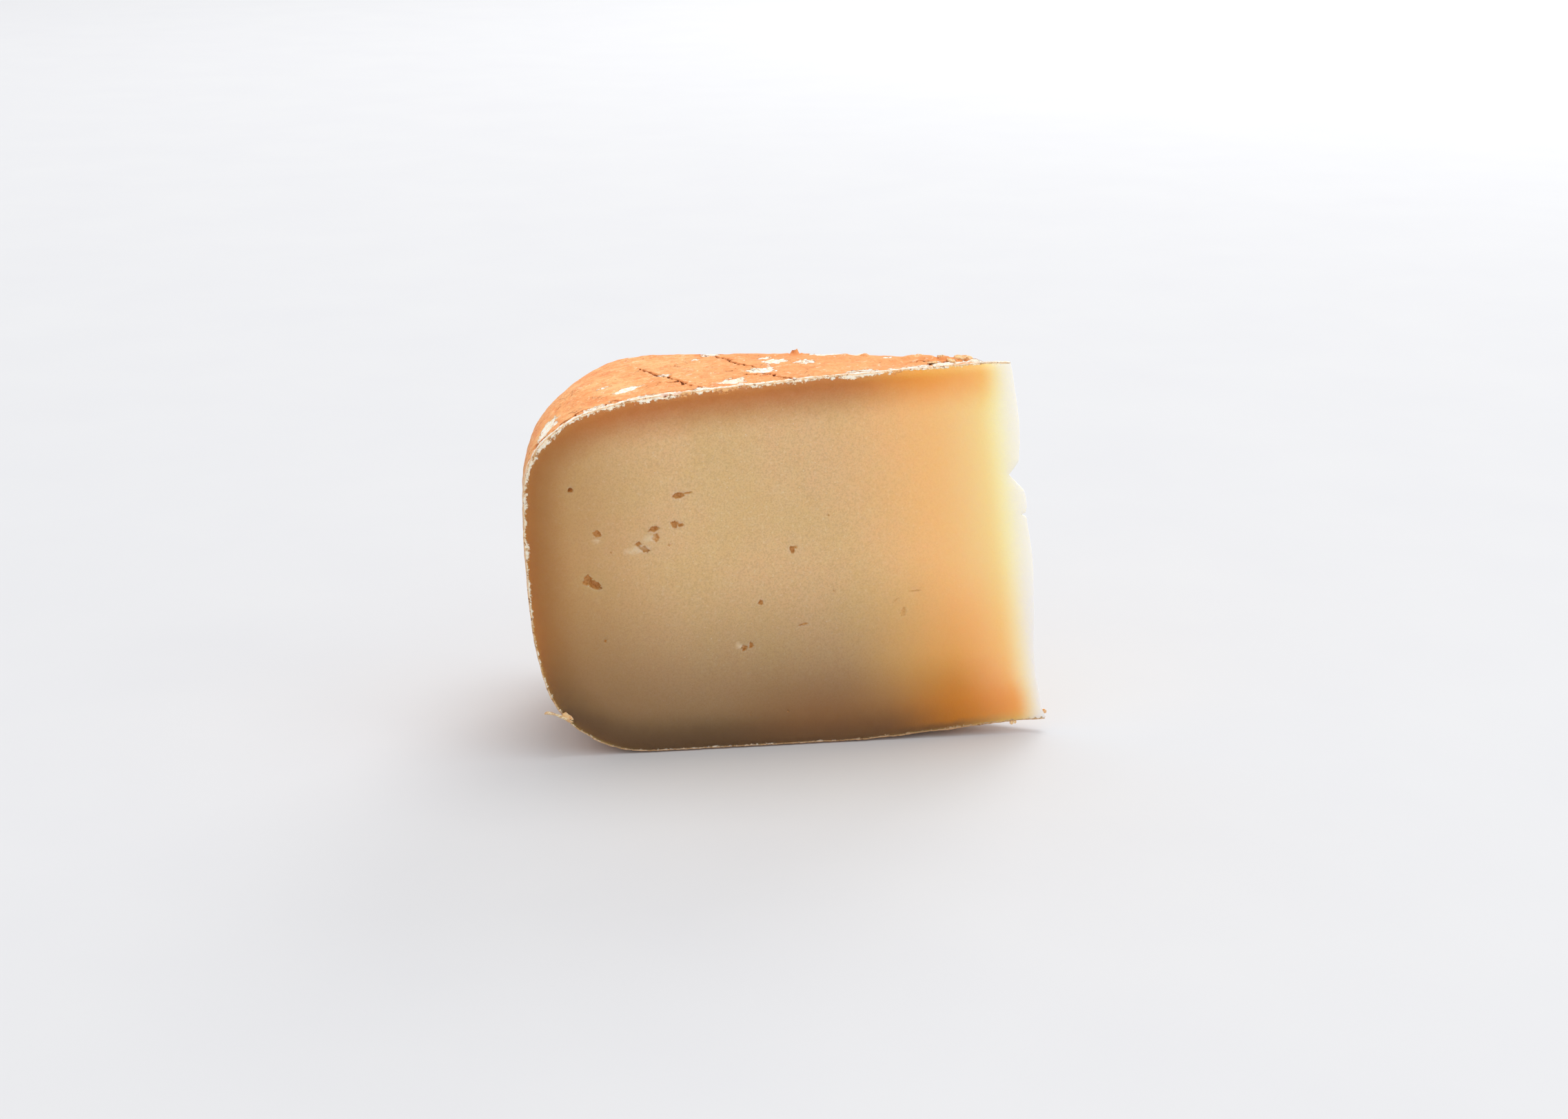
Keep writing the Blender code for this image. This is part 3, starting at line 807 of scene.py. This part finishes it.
def paste_material():
    n = Nodes("paste")
    depth, band, eye, tip = n.fact("rind_depth"), n.fact("band"), n.fact("eye"), n.fact("from_tip")
    # front: full on the front cut and a quarter elsewhere; it sets how strongly the painted shade and glow below are
    # laid
    front = n.ramp(n.fact("front"), 0.0, 1.0, 0.25, 1.0)
    broad, mid, fine, grain = n.noise(22, 3), n.noise(3.2, 4, 0.6), n.noise(0.9, 4, 0.7), n.noise(0.42, 3, 0.75)
    colour = n.mix(n.ramp(broad, 0.35, 0.65), (0.80, 0.56, 0.268), (0.84, 0.565, 0.292))
    colour = n.mix(n.ramp(mid, 0.35, 0.70, 0.0, 0.35), colour, (0.82, 0.61, 0.325))
    # grain
    colour = n.mix(n.math("MULTIPLY", n.ramp(grain, 0.56, 0.38, 0.0, 0.40), n.ramp(tip, 4.0, 30.0, 0.1, 1.0)), colour, (0.56, 0.36, 0.17))
    colour = n.mix(n.ramp(fine, 0.54, 0.66, 0.0, 0.34), colour, (0.90, 0.74, 0.48))
    fleck = n.ramp(n.noise(0.5, 1, 0.5), 0.755, 0.80)
    colour = n.mix(n.math("MULTIPLY", fleck, 0.5), colour, (0.97, 0.90, 0.72))
    # browner towards the rim, partly the paste's own drier colour and partly painted shade on the side away from the
    # light; darker towards the underside on the front cut, which is painted shade; and browner just under the rind
    colour = n.mix(n.ramp(tip, 81.0, 127.0, 0.0, 0.84), colour, (0.50, 0.25, 0.072))
    colour = n.mix(n.math("MULTIPLY", n.ramp(n.fact("height"), 52.0, 1.0, 0.0, 0.85), front), colour, (0.262, 0.144, 0.062))
    # yellower towards the wheel's middle, and orange low down near it: painted glow of the backlight shining through
    # the thinning paste
    colour = n.mix(n.ramp(tip, 53.0, 10.0, 0.0, 0.84), colour, (1.0, 0.635, 0.236))
    colour = n.mix(n.math("MULTIPLY", n.ramp(n.fact("height"), 50.0, 8.0), n.ramp(tip, 54.0, 14.0, 0.0, 0.82)), colour, (0.79, 0.385, 0.054))
    edge = n.math("ADD", depth, n.math("MULTIPLY", n.math("SUBTRACT", mid, 0.5), 1.6))
    # the crust under the rind, with painted shade (low): nearly black low on the front cut; and painted glow: orange
    # near the tip
    low = n.math("MULTIPLY", front, n.math("MULTIPLY", n.ramp(n.fact("height"), 34.0, 6.0), n.ramp(tip, 24.0, 52.0)))
    crust = n.mix(n.ramp(tip, 96.0, 118.0), (0.50, 0.165, 0.022), (0.39, 0.168, 0.035))
    crust = n.mix(low, n.mix(n.ramp(tip, 45.0, 15.0), crust, (0.85, 0.36, 0.032)), (0.15, 0.088, 0.035))
    colour = n.mix(n.ramp(edge, 12.0, 1.0, 0.0, 0.86), colour, crust)
    colour = n.mix(n.ramp(edge, 4.0, 0.6, 0.0, 0.45), colour, n.mix(low, n.mix(n.ramp(tip, 45.0, 15.0), (0.36, 0.135, 0.035), (0.80, 0.36, 0.09)), (0.13, 0.08, 0.03)))
    # painted shade darkening the lowest part of the front cut, and a painted shadow line along its bottom edge
    toe_painted_shade = n.math("MULTIPLY", n.ramp(n.fact("height"), 24.0, 2.0), n.math("MULTIPLY", n.ramp(tip, 3.0, 28.0), n.ramp(tip, 88.0, 56.0)))
    colour = n.mix(n.math("MULTIPLY", front, n.math("MULTIPLY", toe_painted_shade, 0.80)), colour, (0.34, 0.15, 0.047))
    foot_painted_shadow = n.math("MULTIPLY", n.ramp(edge, 9.0, 0.5, 0.0, 0.72), n.math("MULTIPLY", n.ramp(n.fact("height"), 14.0, 9.0), front))
    foot_painted_shadow = n.math("MULTIPLY", foot_painted_shadow, n.ramp(tip, 6.0, 36.0, 0.12, 1.0))
    colour = n.mix(foot_painted_shadow, colour, (0.16, 0.08, 0.03))
    # painted glow: deep orange low on the front near the tip, where backlight shines through
    painted_glow_low = n.math("MULTIPLY", n.ramp(n.fact("height"), 24.0, 8.0, 0.0, 0.62), n.math("MULTIPLY", n.ramp(tip, 42.0, 20.0), n.ramp(tip, 1.0, 8.0)))
    painted_glow_low = n.math("MULTIPLY", painted_glow_low, front)
    colour = n.mix(n.math("MULTIPLY", painted_glow_low, n.ramp(edge, 0.8, 3.0)), colour, (0.76, 0.265, 0.006))
    # painted glow: paler, then near white, where the paste is thinnest and the backlight shines through it
    under = n.ramp(edge, 2.0, 17.0)
    high = n.ramp(n.fact("height"), 26.0, 56.0)
    pale = n.mix(high, (0.97, 0.69, 0.36), (0.98, 0.745, 0.45))
    colour = n.mix(n.math("MULTIPLY", n.ramp(tip, 24.0, 3.0, 0.0, 0.65), n.ramp(under, 0.0, 1.0, 0.50, 1.0)), colour, pale)
    thin = n.math("MULTIPLY", tip, n.ramp(under, 0.0, 1.0, 1.20, 1.0))
    colour = n.mix(n.ramp(thin, 10.0, 0.0, 0.0, 0.96), colour, n.mix(high, (0.82, 0.78, 0.80), (0.95, 0.86, 0.73)))
    # painted shade: darker orange-brown inside the eyes' hollows
    colour = n.mix(n.ramp(eye, 0.02, 0.7, 0.0, 0.85), colour, n.mix(n.ramp(fine, 0.40, 0.60), (0.58, 0.26, 0.06), (0.78, 0.45, 0.16)))
    colour = n.mix(n.math("MULTIPLY", n.fact("smear"), 0.5), colour, (0.88, 0.74, 0.50))
    # the rind's own cut edge: dry, cream, crumbly, with dark specks and brown gaps
    rag = n.math("MULTIPLY", n.math("SUBTRACT", n.noise(1.0, 5, 0.7), 0.5), 2.6)
    ragged = n.math("ADD", n.math("SUBTRACT", band, depth), rag)
    dry = n.ramp(ragged, -0.06, 0.22)
    gaps = n.math("MULTIPLY", n.ramp(n.noise(5.0, 4, 0.65, 0.4), 0.63, 0.56), n.ramp(n.fact("broken"), 0.75, 0.35))
    dry = n.math("MULTIPLY", dry, n.ramp(gaps, 0.0, 1.0, 0.12, 1.0))
    torn = n.math("MULTIPLY", n.ramp(n.fact("broken"), 0.35, 0.7), n.ramp(ragged, -0.5, 0.2))
    colour = n.mix(n.math("MULTIPLY", torn, 0.8), colour, n.mix(n.ramp(fine, 0.42, 0.56), (0.36, 0.13, 0.03), (0.74, 0.36, 0.12)))
    cream = n.mix(n.ramp(fine, 0.40, 0.58), (1.0, 0.80, 0.56), (1.0, 0.93, 0.78))
    specks = n.ramp(n.noise(1.1, 4, 0.75, 0.6), 0.56, 0.61)
    cream = n.mix(n.math("MULTIPLY", specks, 0.8), cream, (0.42, 0.17, 0.045))
    by_foot = n.math("MULTIPLY", n.ramp(n.fact("height"), 13.0, 7.0), n.ramp(tip, 70.0, 40.0, 0.25, 0.75))
    cream = n.mix(by_foot, cream, (0.46, 0.23, 0.08))
    colour = n.mix(dry, colour, cream)
    skin = n.ramp(n.math("ADD", depth, n.math("MULTIPLY", rag, 0.30)), 0.42, 0.16)
    colour = n.mix(n.math("MULTIPLY", skin, 0.7), colour, n.mix(specks, (0.90, 0.52, 0.24), (0.34, 0.13, 0.03)))
    n.put(n.shader.inputs["Base Color"], colour)
    n.put(n.shader.inputs["Roughness"], n.ramp(dry, 0.0, 1.0, 0.50, 0.90))
    # the dry edge and the last thin millimetres scatter less
    close = n.math("MAXIMUM", dry, n.math("MAXIMUM", n.math("MULTIPLY", skin, 0.9), n.ramp(tip, 9.0, 1.0, 0.0, 0.45)))
    close = n.math("MAXIMUM", close, n.ramp(eye, 0.02, 0.25, 0.0, 0.75))
    n.put(n.shader.inputs["Subsurface Weight"], n.ramp(close, 0.0, 1.0, 1.0, 0.06))
    n.shader.inputs["Subsurface Radius"].default_value = (1.0, 0.86, 0.46)
    n.shader.inputs["Subsurface Scale"].default_value = 0.0115
    n.shader.inputs["Specular IOR Level"].default_value = 0.30
    height = n.math("ADD", n.math("MULTIPLY", mid, 0.30), n.math("MULTIPLY", fine, 0.30))
    height = n.math("ADD", height, n.math("MULTIPLY", grain, 0.30))
    height = n.math("ADD", height, n.math("MULTIPLY", n.math("MULTIPLY", dry, fine), 0.9))
    n.put(n.shader.inputs["Normal"], n.bump(height, 0.40, 0.8))
    return n.material


def slab(middle, size, thick, turn, lean, upright, seed):
    """A small ragged plate: its outline rounded off, both faces uneven."""
    turn, lean = math.radians(turn), math.radians(lean)
    loop = []
    for a, b in zip(PLATE, PLATE[1:] + PLATE[:1]):
        loop += [np.array(a), np.array(a) * 0.65 + np.array(b) * 0.35, np.array(a) * 0.3 + np.array(b) * 0.7]
    loop = np.array(loop) * size
    c, s = math.cos(turn), math.sin(turn)
    loop = loop @ np.array([[c, s], [-s, c]])
    rings = [(0.0, 1), (0.45, 1), (0.8, 1), (0.96, 0.8), (1.0, 0), (0.96, -0.8), (0.8, -1), (0.45, -1), (0.0, -1)]
    bm = bmesh.new()
    rows = []
    for share, side in rings:
        pts = loop * share if share else np.zeros((1, 2))
        p = np.stack([pts[:, 0], pts[:, 1], np.full(len(pts), side * 0.5 * thick)], 1)
        p += 0.16 * np.stack([noise(p + 9 * seed, 0.7, 60 + k) for k in range(3)], 1) * [1, 1, 0.8]
        p = p @ np.array([[1, 0, 0], [0, math.cos(lean), math.sin(lean)], [0, -math.sin(lean), math.cos(lean)]])
        if upright:
            p = p[:, [0, 2, 1]] * [1, -1, 1]
        rows.append([bm.verts.new(v) for v in (p + middle) / 1000])
    for a, b in zip(rows, rows[1:]):
        n = max(len(a), len(b))
        for k in range(n):
            quad = [a[k % len(a)], a[(k + 1) % len(a)], b[(k + 1) % len(b)], b[k % len(b)]]
            bm.faces.new(list(dict.fromkeys(quad)))
    return bm


def strand():
    """A dry straw-like thread of rind, thicker where it is joined on."""
    line = resampled(through(STRAND), 0.35)
    bm = bmesh.new()
    rows = []
    for k, p in enumerate(line):
        t = k / (len(line) - 1)
        ahead = line[min(k + 1, len(line) - 1)] - line[max(k - 1, 0)]
        ahead = ahead / np.linalg.norm(ahead)
        side = np.cross(ahead, [0, 0, 1.0])
        side /= np.linalg.norm(side)
        up = np.cross(side, ahead)
        wide = (0.62 - 0.26 * t) * (1 + 0.35 * math.sin(5 * t + 1) * math.sin(13 * t)) * (math.sqrt(max(0.0, 1 - ((t - 0.93) / 0.07) ** 2)) if t > 0.93 else 1)
        if wide < 0.03:
            rows.append([bm.verts.new(p / 1000)])
            break
        turn = np.arange(8) * math.pi / 4
        rows.append([bm.verts.new(v) for v in (p + wide * np.outer(np.cos(turn), side) + 0.75 * wide * np.outer(np.sin(turn), up)) / 1000])
    bm.faces.new(rows[0])
    for a, b in zip(rows, rows[1:]):
        for k in range(8):
            quad = [a[k], a[(k + 1) % 8], b[(k + 1) % len(b)], b[k % len(b)]]
            bm.faces.new(list(dict.fromkeys(quad)))
    if len(rows[-1]) == 8:
        bm.faces.new(rows[-1])
    return bm


def small_piece(name, bm, material):
    bmesh.ops.recalc_face_normals(bm, faces=bm.faces)
    mesh = bpy.data.meshes.new(name)
    for f in bm.faces:
        f.smooth = True
    bm.to_mesh(mesh)
    bm.free()
    mesh.materials.append(material)
    obj = bpy.data.objects.new(name, mesh)
    bpy.context.scene.collection.objects.link(obj)
    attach(obj, "root")
    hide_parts("cheese_wedge")
    return obj


def torn_material():
    n = Nodes("torn_rind")
    mid, fine = n.noise(1.7, 4, 0.65), n.noise(0.5, 4, 0.7)
    colour = n.mix(n.ramp(mid, 0.40, 0.58), (0.86, 0.40, 0.14), (0.95, 0.62, 0.30))
    colour = n.mix(n.ramp(fine, 0.52, 0.62, 0.0, 0.7), colour, (0.96, 0.86, 0.64))
    colour = n.mix(n.ramp(n.noise(1.1, 4, 0.7, 0.5), 0.585, 0.64, 0.0, 0.85), colour, (0.36, 0.14, 0.04))
    n.put(n.shader.inputs["Base Color"], colour)
    n.put(n.shader.inputs["Roughness"], n.ramp(mid, 0.3, 0.7, 0.65, 0.9))
    n.shader.inputs["Specular IOR Level"].default_value = 0.25
    n.put(n.shader.inputs["Normal"], n.bump(fine, 0.25, 0.8))
    return n.material


def straw_material():
    n = Nodes("straw")
    mid, fine = n.noise(1.6, 3, 0.6), n.noise(0.35, 3, 0.7, 0.0, (0.4, 1.0, 1.0))
    colour = n.mix(n.ramp(fine, 0.42, 0.58), (0.80, 0.56, 0.28), (0.94, 0.82, 0.56))
    colour = n.mix(n.ramp(mid, 0.50, 0.62, 0.0, 0.8), colour, (0.66, 0.34, 0.12))
    n.put(n.shader.inputs["Base Color"], colour)
    n.put(n.shader.inputs["Roughness"], n.ramp(fine, 0.3, 0.7, 0.55, 0.8))
    n.put(n.shader.inputs["Normal"], n.bump(fine, 0.12, 0.8))
    return n.material


torn = torn_material()
for k, loose in enumerate(LOOSE):
    small_piece("rind_flake_%d" % (k + 1), slab(*loose, k), torn)
small_piece("rind_strand", strand(), straw_material())
wedge.data.materials.append(rind_material())
wedge.data.materials.append(paste_material())
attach(wedge, "root")
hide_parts("cheese_wedge")


# ------------------------------------------------------------------ floor, light and camera
def floor():
    bm = bmesh.new()
    bmesh.ops.create_grid(bm, x_segments=1, y_segments=1, size=12.0)
    mesh = bpy.data.meshes.new("floor")
    bm.to_mesh(mesh)
    bm.free()
    n = Nodes("floor")
    n.put(n.shader.inputs["Base Color"], n.mix(n.noise(60, 4), (0.66, 0.66, 0.67), (0.69, 0.69, 0.69)))
    n.shader.inputs["Roughness"].default_value = 0.95
    n.shader.inputs["Specular IOR Level"].default_value = 0.05
    mesh.materials.append(n.material)
    obj = bpy.data.objects.new("floor", mesh)
    obj.location = (0, 0, cad_low.z - 0.0004)
    bpy.context.scene.collection.objects.link(obj)
    return obj


def area_light(name, place, target, size, power, colour=(1, 1, 1)):
    data = bpy.data.lights.new(name, "AREA")
    data.shape = "DISK"
    data.size = size
    data.energy = power
    data.color = colour
    obj = bpy.data.objects.new(name, data)
    obj.location = place
    obj.rotation_euler = (Vector(target) - Vector(place)).to_track_quat("-Z", "Y").to_euler()
    bpy.context.scene.collection.objects.link(obj)
    return obj


def sun(name, towards, strength, spread, colour=(1, 1, 1)):
    data = bpy.data.lights.new(name, "SUN")
    data.energy = strength
    data.angle = math.radians(spread)
    data.color = colour
    obj = bpy.data.objects.new(name, data)
    obj.rotation_euler = Vector(towards).to_track_quat("Z", "Y").to_euler()
    bpy.context.scene.collection.objects.link(obj)
    return obj


floor()
middle = (0.02, 0.0, 0.05)
sun("overhead_softbox", (0.20, 0.14, 0.95), 1.05, 40)
area_light("back_light", (1.20, 1.90, 1.25), middle, 1.4, 17.0)
area_light("side_fill", (0.70, -0.50, 0.42), middle, 0.45, 0.6)

world = bpy.data.worlds.new("studio")
world.use_nodes = True
world.node_tree.nodes["Background"].inputs["Color"].default_value = (0.96, 0.97, 1.0, 1.0)
world.node_tree.nodes["Background"].inputs["Strength"].default_value = 0.835
bpy.context.scene.world = world
bpy.context.scene.view_settings.view_transform = "Standard"
bpy.context.scene.view_settings.look = "None"

camera_data = bpy.data.cameras.new("camera")
camera_data.lens = 56.08
camera_data.sensor_width = 36.0
camera_data.clip_start, camera_data.clip_end = 0.02, 50.0
camera = bpy.data.objects.new("camera", camera_data)
camera.location = (-0.08066, -0.58569, 0.23119)
camera.rotation_euler = (math.radians(71.95), 0.0, math.radians(-8.0))
bpy.context.scene.collection.objects.link(camera)
bpy.context.scene.camera = camera
